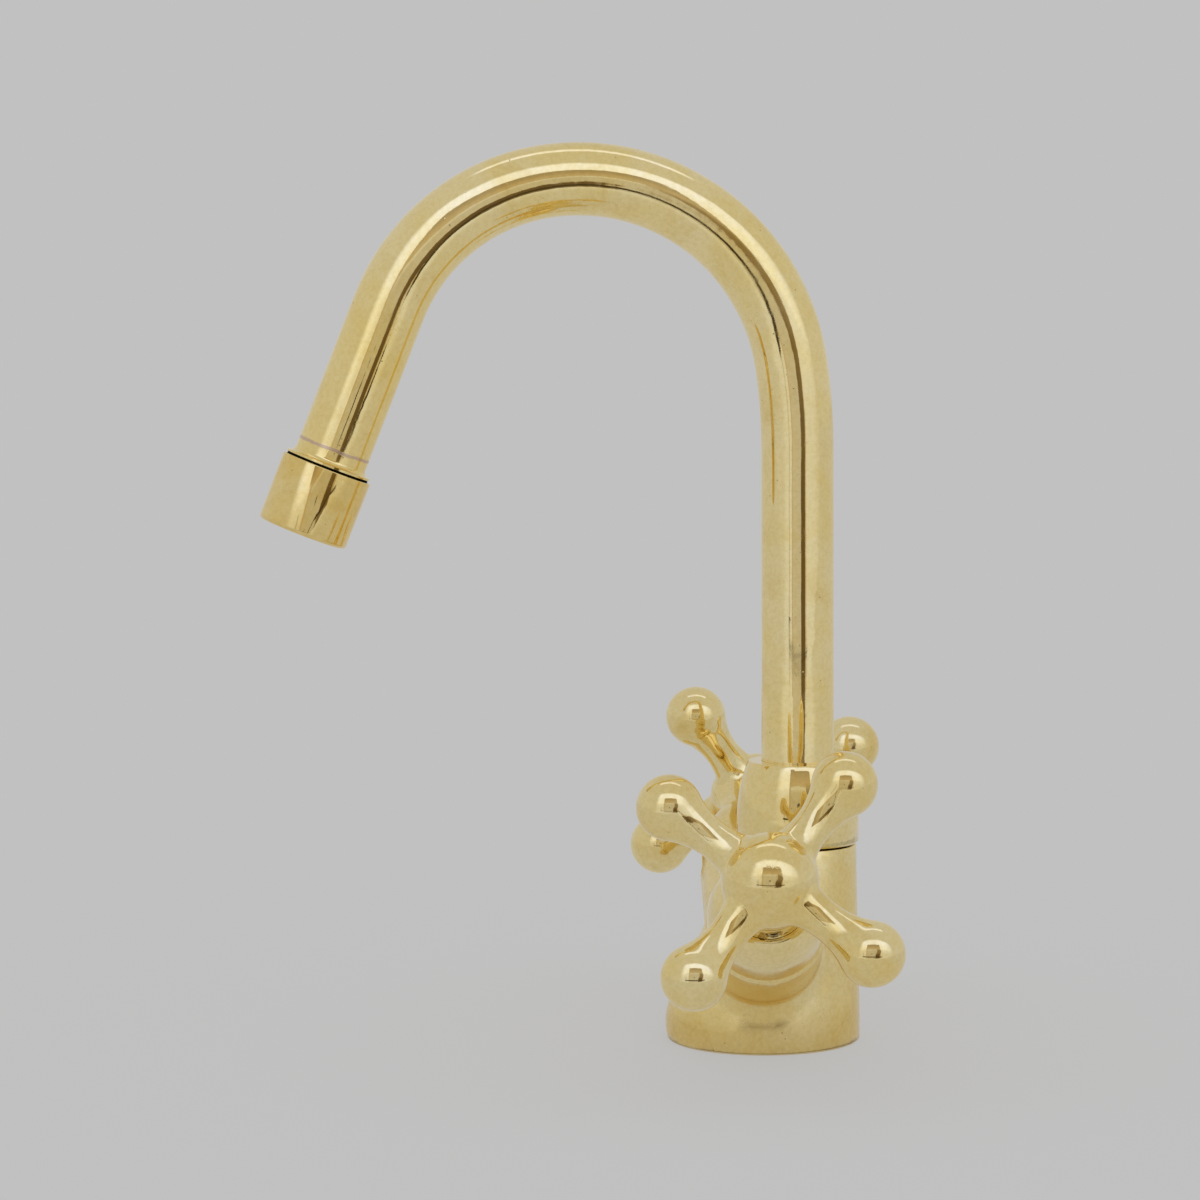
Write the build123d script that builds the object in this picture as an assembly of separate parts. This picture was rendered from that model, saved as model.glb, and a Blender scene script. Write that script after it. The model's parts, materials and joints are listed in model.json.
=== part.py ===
from build123d import *
import math
import os

# Two-handle monobloc mixer with a swivel gooseneck spout. Millimetres, +Z up.
# The origin is the centre of the foot's bottom face. The spout points towards -Y
# and the handles stand out to +X (right) and -X (left).

# Body
FOOT_RADIUS = 25.0
FOOT_HEIGHT = 9.0
TRUNK_TOP = 51.2
TRUNK_TOP_RADIUS = 15.1
SPOUT_Y = 9.0
BASE_EDGE = 0.4
SEAT_EDGE = 0.3
THREADED_NECK_RADIUS = 12.9
THREADED_NECK_TOP = 61.5

# Valve axes: one line each side, rising outwards from a point low in the body.
# Places along a valve axis are distances from that point.
VALVE_TILT = 25.9
VALVE_FOOT_Y = -0.5
VALVE_FOOT_Z = 17.0
BOSS_RADIUS = 15.4
BOSS_ROOT_RADIUS = 13.8
BOSS_END = 45.5
BOSS_BLEND = 6.0
BOSS_EDGE = 1.8

# Water ways, fixing holes and gasket groove in the body
INLET_X = 9.0
INLET_THREAD_RADIUS = 4.5
INLET_THREAD_DEPTH = 14.0
INLET_DRILL_RADIUS = 3.0
INLET_DRILL_TOP = 23.0
STUD_Y = 14.5
STUD_RADIUS = 3.4
STUD_DEPTH = 14.0
PORT_RADIUS = 3.4
PORT_START = 9.0
SEAT_LEVEL = 22.0
SEAT_CHAMBER_RADIUS = 8.2
SEAT_CHAMBER_END = 29.0
VALVE_BORE_RADIUS = 9.6
RING_RECESS_RADIUS = 11.2
RING_RECESS_DEPTH = 1.3
MIX_RADIUS = 8.0
MIX_FLOOR = 28.0
CHANNEL_RADIUS = 2.5
CHANNEL_SOURCE = (29.1, 3.9, 39.6)
CHANNEL_SINK_LEVEL = 32.0
GASKET_OUTER = 23.2
GASKET_INNER = 20.8
GASKET_DEPTH = 2.3
GASKET_CLEARANCE = 0.1

# Spout
TUBE_RADIUS = 9.4
TUBE_BORE = 8.0
TUBE_FOOT = 56.0
BEND_START = 154.3
BEND_ARCS = ((147.0, 8.6), (55.8, 91.6), (51.4, 58.1))
LEG_LENGTH = 38.7
SPOUT_REST_TURN = 7.5
BUSH_RADIUS = 10.45
BUSH_BORE = 6.6
BUSH_FOOT = 38.0
BUSH_TOP = 69.4
BUSH_EDGE = 0.8
BRAZE_GAP = 0.03
SOCKET_RADIUS = 10.5
SOCKET_FLOOR = 37.9
GROOVE_BOTTOM = 8.85
GROOVE_HEIGHT = 2.2
SPOUT_RING_LEVELS = {"lower": 42.0, "upper": 47.5}
SPOUT_RING_CENTRE = 9.65
SPOUT_RING_SECTION = 0.75

# Collar nut that holds the spout
COLLAR_BOTTOM = 51.75
COLLAR_TOP = 73.0
COLLAR_RADIUS = 15.9
COLLAR_TOP_RADIUS = 12.9
COLLAR_BULGE_END = 57.5
COLLAR_EDGE = 0.5
COLLAR_THREAD_RADIUS = 13.0
COLLAR_THREAD_END = 62.5
COLLAR_BORE = 10.9
COLLAR_PLATE = 3.1
RUNNING_GAP = 0.05
GLIDE_RING_INNER = 9.5
GLIDE_RING_OUTER = 10.8
GLIDE_RING_HEIGHT = 0.4

# Outlet, by distance along the leg from the ferrule's lower face
FERRULE_LENGTH = 4.3
FLANGE_RADIUS = 11.2
FLANGE_THICKNESS = 0.55
FLANGE_BLEND = 1.6
SPIGOT_RADIUS = 10.8
SPIGOT_LENGTH = 7.0
AERATOR_GAP = 0.6
AERATOR_RADIUS = 11.75
AERATOR_END = 18.6
AERATOR_EDGE = 1.1
AERATOR_THREAD_BORE = 10.9
AERATOR_BORE = 10.4
AERATOR_SHOULDER = 9.0
LIP_LEVEL = 17.2
LIP_RADIUS = 9.4
AERATOR_GASKET = (7.05, 8.25)
AERATOR_GASKET_INNER = 7.8
SCREEN = (8.35, 8.95)
SCREEN_DISHING = 0.3
INSERT = (9.05, 17.15)
INSERT_RADIUS = 10.3
JET_CIRCLES = ((0.0, 1), (3.2, 6), (6.4, 12))
JET_RADIUS = 0.9

# Valve heads
SEAL = (22.05, 25.0)
SEAL_INNER = 3.6
SEAL_RADIUS = 7.9
FIXED_DISC = (25.1, 28.05)
MOVING_DISC = (28.1, 31.1)
DISC_RADIUS = 6.9
DISC_PORT = (1.6, 5.2)
DISC_PORT_ANGLE = 84.0
BONNET_SKIRT_RADIUS = 8.1
BONNET_CAVITY_RADIUS = 7.0
BONNET_CAVITY_END = 33.2
BONNET_THREAD_START = 39.0
BONNET_THREAD_RADIUS = 9.55
BONNET_FLANGE_RADIUS = 12.95
BONNET_FLANGE_END = 50.1
HEX_FLATS = 19.0
HEX_END = 54.1
BONNET_NECK_RADIUS = 6.6
BONNET_TOP = 58.0
WINDOW = (5.5, 29.5, 32.8)
BONNET_RING_CENTRE = 10.4
BONNET_RING_SECTION = 0.6
SPINDLE_RADIUS = 4.0
SPINDLE_FLANGE_RADIUS = 6.8
SPINDLE_FLANGE = (31.15, 33.1)
TONGUE = (2.8, 12.0, 0.9)
TONGUE_SLOT = (3.0, 1.0)
SPINDLE_GROOVE = (2.9, 51.0, 53.2)
SPINDLE_RING_CENTRE = 3.43
SPINDLE_RING_SECTION = 0.5
CLIP_GROOVE = (3.2, 58.15, 59.35)
CLIP = (3.25, 6.2, 58.2, 59.3)
CLIP_MOUTH = 4.6
SPLINE_START = 66.0
SPLINE_END = 81.0
SPLINE_TIP = 3.95
SPLINE_ROOT = 3.55
SPLINE_TEETH = 20

# Domed valve covers
COVER_START = 45.75
COVER_RADIUS = 14.95
COVER_CHAMFER = 0.5
COVER_SHOULDER = 52.5
COVER_END = 65.8
COVER_END_RADIUS = 10.4
COVER_HOLE = 7.0
COVER_WALL = 1.3
COVER_THREAD_BORE = 13.0
COVER_THREAD_END = 51.5

# Cross handles, from the point where the arms' plane cuts the valve axis
HANDLE_DISTANCE = 83.2
ARM_TURNS = {"right": 52.6, "left": -31.8}
HUB_RADIUS = 12.0
HUB_WIDEST = -0.5
HUB_NOSE = 12.0
HUB_TAPER = 4.2
ROUND_SHARE = 0.55
SKIRT_RADIUS = 9.9
SKIRT_START = -11.0
SKIRT_END = -17.1
ARM_COUNT = 4
ARM_LENGTH = 30.75
BALL_RADIUS = 8.2
NECK_DISTANCE = 17.2
ARM_NECK = 4.72
ARM_ROOT = 6.0
CROTCH_BLEND = 4.2
HUB_SOCKET_RADIUS = 4.05
HUB_SOCKET_END = -1.8
SET_SCREW_RADIUS = 1.65
SET_SCREW_LEVEL = -14.3
SET_SCREW = (4.1, 9.5)
KEY_FLATS = 2.0
KEY_DEPTH = 1.8

SIDES = {"right": 1, "left": -1}


def turned(outline):
    """A solid turned about Z from the straight runs of its outline, as (radius, height)."""
    edges = Polyline(*[(radius, 0, height) for radius, height in outline], close=True)
    return revolve(make_face(edges), Axis.Z)


def turned_curve(edges):
    """A solid turned about Z from outline edges drawn with X as radius and Y as height."""
    return revolve(Plane.XZ * make_face(edges), Axis.Z)


def ring(inner, outer, low, high):
    return turned([(inner, low), (outer, low), (outer, high), (inner, high)])


def disc(radius, low, high):
    return Pos(0, 0, (low + high) / 2) * Cylinder(radius, high - low)


def o_ring(centre_radius, section_radius, level):
    return Pos(0, 0, level) * Torus(centre_radius, section_radius)


def drill(start, end, radius):
    """A round hole's solid from one point to another."""
    run = Line(start, end)
    return sweep(Plane(origin=start, z_dir=run % 0) * Circle(radius), path=run)


def on_spout_axis(shape):
    return Pos(0, SPOUT_Y, 0) * shape


def on_valve(side, shape):
    """Puts a shape on a valve axis: its Z runs outwards and its X is the row's +Y."""
    tilt = math.radians(VALVE_TILT)
    out = (SIDES[side] * math.cos(tilt), 0, math.sin(tilt))
    frame = Plane(origin=(0, VALVE_FOOT_Y, VALVE_FOOT_Z), x_dir=(0, 1, 0), z_dir=out)
    return frame.location * shape


def trunk():
    """Foot and trunk: circles that shrink and step back up to the spout's seat."""
    sections = Sketch()
    for level in (0.0, FOOT_HEIGHT, 22.0, 36.5, TRUNK_TOP):
        share = max(0.0, (level - FOOT_HEIGHT) / (TRUNK_TOP - FOOT_HEIGHT))
        radius = FOOT_RADIUS + (TRUNK_TOP_RADIUS - FOOT_RADIUS) * share
        sections += Pos(0, SPOUT_Y * share, level) * Rot(0, 0, 90) * Circle(radius)
    return loft(sections.faces())


def body_casting():
    """The outside of the body: trunk and bosses, with the joins blended."""
    casting = trunk()
    boss = turned([(0, 0), (BOSS_ROOT_RADIUS, 0), (BOSS_RADIUS, BOSS_END), (0, BOSS_END)])
    for side in SIDES:
        casting += on_valve(side, boss)
    joins = [
        edge
        for edge in casting.edges()
        if edge.geom_type == GeomType.BSPLINE and abs(edge.bounding_box().center().X) > 5
    ]
    casting = fillet(joins, BOSS_BLEND)
    rims = [
        edge
        for edge in casting.edges()
        if edge.geom_type == GeomType.CIRCLE and abs(edge.arc_center.X) > BOSS_END / 2
    ]
    casting = fillet(rims, BOSS_EDGE)
    flat = casting.edges().filter_by(lambda edge: edge.bounding_box().size.Z < 0.01)
    casting = chamfer(flat.group_by(Axis.Z)[0], BASE_EDGE)
    flat = casting.edges().filter_by(lambda edge: edge.bounding_box().size.Z < 0.01)
    return fillet(flat.group_by(Axis.Z)[-1], SEAT_EDGE)


def valve_way(side):
    """Everything cut along one valve axis: port, seat chamber, thread and ring recess."""
    way = disc(PORT_RADIUS, PORT_START, SEAT_LEVEL)
    way += disc(SEAT_CHAMBER_RADIUS, SEAT_LEVEL, SEAT_CHAMBER_END)
    way += disc(VALVE_BORE_RADIUS, SEAT_CHAMBER_END, BOSS_END)
    way += disc(RING_RECESS_RADIUS, BOSS_END - RING_RECESS_DEPTH, BOSS_END + 1)
    return on_valve(side, way)


def inlet_way(side):
    x = SIDES[side] * INLET_X
    way = disc(INLET_THREAD_RADIUS, 0, INLET_THREAD_DEPTH)
    way += disc(INLET_DRILL_RADIUS, INLET_THREAD_DEPTH, INLET_DRILL_TOP)
    return Pos(x, VALVE_FOOT_Y, 0) * way


def mixing_channel(side):
    x, y, z = CHANNEL_SOURCE
    sink = (0, SPOUT_Y, CHANNEL_SINK_LEVEL)
    return drill((SIDES[side] * x, y, z), sink, CHANNEL_RADIUS)


def mixer_body():
    body = body_casting()
    neck = disc(THREADED_NECK_RADIUS, TRUNK_TOP - 2, THREADED_NECK_TOP)
    body += on_spout_axis(neck)
    body -= on_spout_axis(disc(SOCKET_RADIUS, SOCKET_FLOOR, THREADED_NECK_TOP))
    body -= on_spout_axis(disc(MIX_RADIUS, MIX_FLOOR, SOCKET_FLOOR))
    for side in SIDES:
        body -= valve_way(side)
        body -= inlet_way(side)
        body -= mixing_channel(side)
    body -= Pos(0, STUD_Y, 0) * disc(STUD_RADIUS, 0, STUD_DEPTH)
    body -= ring(GASKET_INNER, GASKET_OUTER, 0, GASKET_DEPTH)
    return body


def base_gasket():
    gap = GASKET_CLEARANCE
    return ring(GASKET_INNER + gap, GASKET_OUTER - gap, gap, GASKET_DEPTH)


def spout_collar():
    """Smooth barrel nut: straight below, drawn in above, with a plate round the tube."""
    drop = COLLAR_TOP - COLLAR_BULGE_END
    inset = COLLAR_RADIUS - COLLAR_TOP_RADIUS
    bulge = (drop * drop + inset * inset) / (2 * inset)
    top_turn = math.degrees(math.asin(drop / bulge))
    edge = COLLAR_RADIUS - COLLAR_EDGE
    barrel = CenterArc((COLLAR_RADIUS - bulge, COLLAR_BULGE_END), bulge, 0, top_turn)
    outline = [
        Line((0, COLLAR_BOTTOM), (edge, COLLAR_BOTTOM)),
        Line((edge, COLLAR_BOTTOM), (COLLAR_RADIUS, COLLAR_BOTTOM + COLLAR_EDGE)),
        Line((COLLAR_RADIUS, COLLAR_BOTTOM + COLLAR_EDGE), (COLLAR_RADIUS, COLLAR_BULGE_END)),
        barrel,
        Line(barrel @ 1, (0, COLLAR_TOP)),
        Line((0, COLLAR_TOP), (0, COLLAR_BOTTOM)),
    ]
    nut = turned_curve(outline)
    plate = COLLAR_TOP - COLLAR_PLATE
    nut -= disc(COLLAR_THREAD_RADIUS, COLLAR_BOTTOM, COLLAR_THREAD_END)
    nut -= disc(COLLAR_BORE, COLLAR_THREAD_END, plate)
    nut -= disc(TUBE_RADIUS + RUNNING_GAP, plate, COLLAR_TOP)
    top = nut.edges().group_by(Axis.Z)[-1].sort_by(lambda edge: edge.radius)[-1]
    return on_spout_axis(fillet(top, COLLAR_EDGE))


def spout_glide_ring():
    low = BUSH_TOP + RUNNING_GAP
    return on_spout_axis(ring(GLIDE_RING_INNER, GLIDE_RING_OUTER, low, low + GLIDE_RING_HEIGHT))


def spout_foot_bush():
    """Turned bush: two ring grooves below and the socket for the tube above."""
    bush = disc(BUSH_RADIUS, BUSH_FOOT, BUSH_TOP)
    bush = chamfer(bush.edges().group_by(Axis.Z)[0], BUSH_EDGE)
    bush -= disc(BUSH_BORE, BUSH_FOOT, TUBE_FOOT)
    bush -= disc(TUBE_RADIUS + BRAZE_GAP, TUBE_FOOT, BUSH_TOP)
    for level in SPOUT_RING_LEVELS.values():
        low = level - GROOVE_HEIGHT / 2
        bush -= ring(GROOVE_BOTTOM, SOCKET_RADIUS, low, low + GROOVE_HEIGHT)
    return on_spout_axis(bush)


def spout_ring(name):
    level = SPOUT_RING_LEVELS[name]
    return on_spout_axis(o_ring(SPOUT_RING_CENTRE, SPOUT_RING_SECTION, level))


def spout_turned(shape):
    """Swivels a spout piece from straight ahead to where it rests."""
    return Pos(0, SPOUT_Y, 0) * Rot(0, 0, SPOUT_REST_TURN) * Pos(0, -SPOUT_Y, 0) * shape


def spout_line():
    """The tube's centre line in the plane X = 0: riser, three tangent arcs and leg."""
    runs = [Line((0, SPOUT_Y, TUBE_FOOT), (0, SPOUT_Y, BEND_START))]
    turned_so_far = 0
    for radius, turn in BEND_ARCS:
        angle = math.radians(turned_so_far)
        centre = (runs[-1] @ 1) - Vector(0, math.cos(angle), math.sin(angle)) * radius
        place = Plane(origin=centre, x_dir=(0, 1, 0), z_dir=(1, 0, 0))
        runs.append(place * CenterArc((0, 0), radius, turned_so_far, turn))
        turned_so_far += turn
    bend_end = runs[-1] @ 1
    runs.append(Line(bend_end, bend_end + (runs[-1] % 1) * LEG_LENGTH))
    return Wire(runs)


def spout_tube():
    section = Circle(TUBE_RADIUS) - Circle(TUBE_BORE)
    start = Plane(origin=(0, SPOUT_Y, TUBE_FOOT))
    return spout_turned(sweep(start * section, path=spout_line()))


def on_outlet(shape):
    """Puts a shape on the outlet: its Z runs out along the leg from the ferrule's face."""
    line = spout_line()
    down = line % 1
    face = Plane(origin=(line @ 1) + down * FERRULE_LENGTH, x_dir=(1, 0, 0), z_dir=down)
    return spout_turned(face.location * shape)


def outlet_ferrule():
    """Turned end piece: tube-size neck, blended flange and threaded spigot."""
    flange_top = -FLANGE_THICKNESS
    blend_top = flange_top - FLANGE_BLEND
    blend_end = TUBE_RADIUS + FLANGE_BLEND
    outline = [
        Line((TUBE_BORE, -FERRULE_LENGTH), (TUBE_RADIUS, -FERRULE_LENGTH)),
        Line((TUBE_RADIUS, -FERRULE_LENGTH), (TUBE_RADIUS, blend_top)),
        CenterArc((blend_end, blend_top), FLANGE_BLEND, 90, 90),
        Line((blend_end, flange_top), (FLANGE_RADIUS, flange_top)),
        Line((FLANGE_RADIUS, flange_top), (FLANGE_RADIUS, 0)),
        Line((FLANGE_RADIUS, 0), (SPIGOT_RADIUS, 0)),
        Line((SPIGOT_RADIUS, 0), (SPIGOT_RADIUS, SPIGOT_LENGTH)),
        Line((SPIGOT_RADIUS, SPIGOT_LENGTH), (TUBE_BORE, SPIGOT_LENGTH)),
        Line((TUBE_BORE, SPIGOT_LENGTH), (TUBE_BORE, -FERRULE_LENGTH)),
    ]
    return on_outlet(turned_curve(outline))


def aerator_housing():
    shell = disc(AERATOR_RADIUS, AERATOR_GAP, AERATOR_END)
    shell = fillet(shell.edges().group_by(Axis.Z)[-1], AERATOR_EDGE)
    shell = fillet(shell.edges().group_by(Axis.Z)[0], AERATOR_EDGE / 4)
    shell -= disc(AERATOR_THREAD_BORE, AERATOR_GAP, AERATOR_SHOULDER)
    shell -= disc(AERATOR_BORE, AERATOR_SHOULDER, LIP_LEVEL)
    shell -= disc(LIP_RADIUS, LIP_LEVEL, AERATOR_END)
    return on_outlet(shell)


def aerator_gasket():
    return on_outlet(ring(AERATOR_GASKET_INNER, AERATOR_BORE, *AERATOR_GASKET))


def aerator_screen():
    """Dished strainer disc."""
    low, high = SCREEN
    plate = disc(INSERT_RADIUS, low, high)
    plate -= disc(AERATOR_GASKET_INNER, low, low + SCREEN_DISHING)
    return on_outlet(plate)


def aerator_insert():
    """Jet former: a plug with rings of round jets."""
    low, high = INSERT
    plug = disc(INSERT_RADIUS, low, high)
    jets = []
    for circle_radius, count in JET_CIRCLES:
        for index in range(count):
            turn = Rot(0, 0, 360 * index / count)
            jets.append(turn * Pos(circle_radius, 0, 0) * disc(JET_RADIUS, low, high))
    return on_outlet(plug.cut(*jets))


def bonnet(side):
    """Screwed valve head: skirt with windows, thread, flange, hexagon and neck."""
    hexagon = Pos(0, 0, BONNET_FLANGE_END) * extrude(
        RegularPolygon(HEX_FLATS / 2, 6, major_radius=False), HEX_END - BONNET_FLANGE_END
    )
    head = disc(BONNET_SKIRT_RADIUS, FIXED_DISC[0], BONNET_THREAD_START)
    head += disc(BONNET_THREAD_RADIUS, BONNET_THREAD_START, BOSS_END)
    head += disc(BONNET_FLANGE_RADIUS, BOSS_END, BONNET_FLANGE_END)
    head += hexagon
    head += disc(BONNET_NECK_RADIUS, HEX_END, BONNET_TOP)
    head -= disc(BONNET_CAVITY_RADIUS, FIXED_DISC[0], BONNET_CAVITY_END)
    head -= disc(SPINDLE_RADIUS + RUNNING_GAP, BONNET_CAVITY_END, BONNET_TOP)
    width, low, high = WINDOW
    window = Box(width, 3 * BONNET_SKIRT_RADIUS, high - low)
    head -= Pos(0, 0, (low + high) / 2) * window
    return on_valve(side, head)


def bonnet_oring(side):
    level = BOSS_END - BONNET_RING_SECTION - RUNNING_GAP
    return on_valve(side, o_ring(BONNET_RING_CENTRE, BONNET_RING_SECTION, level))


def seat_seal(side):
    return on_valve(side, ring(SEAL_INNER, SEAL_RADIUS, *SEAL))


def port_slots(low, high):
    """Two opposite ports through a ceramic disc, as sectors of a ring."""
    inner, outer = DISC_PORT
    slots = []
    for start in (0, 180):
        face = make_face(
            [
                CenterArc((0, 0), outer, start, DISC_PORT_ANGLE),
                CenterArc((0, 0), inner, start, DISC_PORT_ANGLE),
                PolarLine((0, 0), outer, start).trim(inner / outer, 1),
                PolarLine((0, 0), outer, start + DISC_PORT_ANGLE).trim(inner / outer, 1),
            ]
        )
        slots.append(Pos(0, 0, low) * extrude(face, high - low))
    return slots


def fixed_disc(side):
    return on_valve(side, disc(DISC_RADIUS, *FIXED_DISC).cut(*port_slots(*FIXED_DISC)))


def moving_disc(side):
    low, high = MOVING_DISC
    width, depth = TONGUE_SLOT
    plate = disc(DISC_RADIUS, low, high)
    closed = Rot(0, 0, 90)
    plate = plate.cut(*[closed * slot for slot in port_slots(low, high - 1.2)])
    plate -= Pos(0, 0, high - depth / 2) * Box(3 * DISC_RADIUS, width, depth)
    return on_valve(side, plate)


def splines():
    """Fine teeth of the spindle's top as a star outline."""
    points = []
    for index in range(2 * SPLINE_TEETH):
        radius = SPLINE_ROOT if index % 2 else SPLINE_TIP
        turn = math.pi * index / SPLINE_TEETH
        points.append((radius * math.cos(turn), radius * math.sin(turn)))
    star = make_face(Polyline(*points, close=True))
    return Pos(0, 0, SPLINE_START) * extrude(star, SPLINE_END - SPLINE_START)


def spindle(side):
    """Spindle with disc tongue, drive flange, ring groove, clip groove and splined top."""
    width, length, drop = TONGUE
    low, high = SPINDLE_FLANGE
    shaft = disc(SPINDLE_FLANGE_RADIUS, low, high)
    shaft += disc(SPINDLE_RADIUS, high, SPLINE_START)
    shaft += Pos(0, 0, low - drop / 2) * Box(length, width, drop)
    for bottom, groove_low, groove_high in (SPINDLE_GROOVE, CLIP_GROOVE):
        shaft -= ring(bottom, SPINDLE_RADIUS + 1, groove_low, groove_high)
    shaft += splines()
    return on_valve(side, shaft)


def spindle_oring(side):
    level = (SPINDLE_GROOVE[1] + SPINDLE_GROOVE[2]) / 2
    return on_valve(side, o_ring(SPINDLE_RING_CENTRE, SPINDLE_RING_SECTION, level))


def spindle_clip(side):
    inner, outer, low, high = CLIP
    clip = ring(inner, outer, low, high)
    clip -= Pos(outer, 0, (low + high) / 2) * Box(2 * outer, CLIP_MOUTH, 2 * (high - low))
    return on_valve(side, clip)


def valve_cover(side):
    """Domed bell: a short straight side, a long elliptical shoulder and a flat end under the skirt."""
    depth = COVER_END - COVER_SHOULDER
    width = COVER_RADIUS - COVER_END_RADIUS
    edge = COVER_RADIUS - COVER_CHAMFER
    shoulder = EllipticalCenterArc((COVER_END_RADIUS, COVER_SHOULDER), width, depth, 0, arc_size=90)
    outline = [
        Line((0, COVER_START), (edge, COVER_START)),
        Line((edge, COVER_START), (COVER_RADIUS, COVER_START + COVER_CHAMFER)),
        Line((COVER_RADIUS, COVER_START + COVER_CHAMFER), (COVER_RADIUS, COVER_SHOULDER)),
        shoulder,
        Line((COVER_END_RADIUS, COVER_END), (0, COVER_END)),
        Line((0, COVER_END), (0, COVER_START)),
    ]
    inside = EllipticalCenterArc(
        (COVER_END_RADIUS, COVER_SHOULDER), width - COVER_WALL, depth - COVER_WALL, 0, arc_size=90
    )
    inner = COVER_RADIUS - COVER_WALL
    roof = COVER_END - COVER_WALL
    hollow = [
        Line((0, COVER_THREAD_END), (inner, COVER_THREAD_END)),
        Line((inner, COVER_THREAD_END), (inner, COVER_SHOULDER)),
        inside,
        Line((COVER_END_RADIUS, roof), (0, roof)),
        Line((0, roof), (0, COVER_THREAD_END)),
    ]
    bell = turned_curve(outline) - turned_curve(hollow)
    bell -= disc(COVER_THREAD_BORE, COVER_START, COVER_THREAD_END)
    bell -= disc(COVER_HOLE, roof, COVER_END)
    return on_valve(side, bell)


def hub():
    """Hub turned about Z: rounded nose, widest just behind the arms, then a skirt."""
    tip = HUB_WIDEST + HUB_NOSE
    nose = Bezier(
        (0, tip),
        (HUB_RADIUS * ROUND_SHARE, tip),
        (HUB_RADIUS, HUB_WIDEST + HUB_NOSE * ROUND_SHARE),
        (HUB_RADIUS, HUB_WIDEST),
    )
    back = Bezier(
        (HUB_RADIUS, HUB_WIDEST),
        (HUB_RADIUS, HUB_WIDEST - HUB_TAPER),
        (SKIRT_RADIUS, SKIRT_START + HUB_TAPER),
        (SKIRT_RADIUS, SKIRT_START),
    )
    outline = [
        nose,
        back,
        Line((SKIRT_RADIUS, SKIRT_START), (SKIRT_RADIUS, SKIRT_END)),
        Line((SKIRT_RADIUS, SKIRT_END), (0, SKIRT_END)),
        Line((0, SKIRT_END), (0, tip)),
    ]
    return Rot(0, 0, 180 / ARM_COUNT) * turned_curve(outline)


def arm():
    """One arm turned about X: wide at the hub, a waist, then a flare into a ball."""
    run = ARM_LENGTH - NECK_DISTANCE
    curve = (run * run + ARM_NECK**2 - BALL_RADIUS**2) / (2 * (BALL_RADIUS - ARM_NECK))
    centre = (NECK_DISTANCE, ARM_NECK + curve)
    root_turn = math.degrees(math.asin((NECK_DISTANCE - ARM_ROOT) / curve))
    flare_turn = math.degrees(math.atan2(run, centre[1]))
    waist = CenterArc(centre, curve, -90 - root_turn, root_turn + flare_turn)
    tip = (ARM_LENGTH + BALL_RADIUS, 0)
    outline = [
        Line((ARM_ROOT, 0), waist @ 0),
        waist,
        CenterArc((ARM_LENGTH, 0), BALL_RADIUS, 0, 90 + flare_turn),
        Line(tip, (ARM_ROOT, 0)),
    ]
    return revolve(make_face(outline), Axis.X)


def cross_handle(side):
    casting = hub()
    for index in range(ARM_COUNT):
        casting += Rot(0, 0, 360 * index / ARM_COUNT) * arm()
    joins = []
    for edge in casting.edges():
        middle = edge @ 0.5
        near_hub = math.hypot(middle.X, middle.Y) < HUB_RADIUS + 2
        if edge.geom_type == GeomType.BSPLINE and near_hub:
            joins.append(edge)
    casting = fillet(joins, CROTCH_BLEND)
    casting = Rot(0, 0, ARM_TURNS[side]) * casting
    casting -= disc(HUB_SOCKET_RADIUS, SKIRT_END, HUB_SOCKET_END)
    casting -= set_screw_place(side) * disc(SET_SCREW_RADIUS, 0, SKIRT_RADIUS + 1)
    return on_valve(side, Pos(0, 0, HANDLE_DISTANCE) * casting)


def set_screw_place(side):
    """A frame on the skirt's underside, midway between two arms, with Z pointing outwards."""
    down = {"right": -90, "left": 90}[side]
    turn = ARM_TURNS[side] + 45
    steps = round((down - turn) / 90)
    return Pos(0, 0, SET_SCREW_LEVEL) * Rot(0, 0, turn + 90 * steps) * Rot(0, 90, 0)


def handle_set_screw(side):
    start, end = SET_SCREW
    screw = disc(SET_SCREW_RADIUS - RUNNING_GAP, start, end)
    key = extrude(RegularPolygon(KEY_FLATS / 2, 6, major_radius=False), KEY_DEPTH)
    screw -= Pos(0, 0, end - KEY_DEPTH) * key
    placed = set_screw_place(side) * screw
    return on_valve(side, Pos(0, 0, HANDLE_DISTANCE) * placed)


SINGLE_PIECES = {
    "mixer_body": mixer_body,
    "base_gasket": base_gasket,
    "spout_collar": spout_collar,
    "spout_glide_ring": spout_glide_ring,
    "spout_foot_bush": spout_foot_bush,
    "spout_tube": spout_tube,
    "outlet_ferrule": outlet_ferrule,
    "aerator_housing": aerator_housing,
    "aerator_gasket": aerator_gasket,
    "aerator_screen": aerator_screen,
    "aerator_insert": aerator_insert,
}

SIDE_PIECES = {
    "bonnet": bonnet,
    "bonnet_oring": bonnet_oring,
    "seat_seal": seat_seal,
    "fixed_disc": fixed_disc,
    "moving_disc": moving_disc,
    "spindle": spindle,
    "spindle_oring": spindle_oring,
    "spindle_clip": spindle_clip,
    "valve_cover": valve_cover,
    "cross_handle": cross_handle,
    "handle_set_screw": handle_set_screw,
}


def export_all():
    os.makedirs("parts", exist_ok=True)
    for name, make in SINGLE_PIECES.items():
        export_step(make(), f"parts/{name}.step")
    for name in SPOUT_RING_LEVELS:
        export_step(spout_ring(name), f"parts/spout_oring_{name}.step")
    for name, make in SIDE_PIECES.items():
        for side in SIDES:
            export_step(make(side), f"parts/{side}_{name}.step")


export_all()
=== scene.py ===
import json
import math

import bpy
from mathutils import Matrix, Vector


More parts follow.
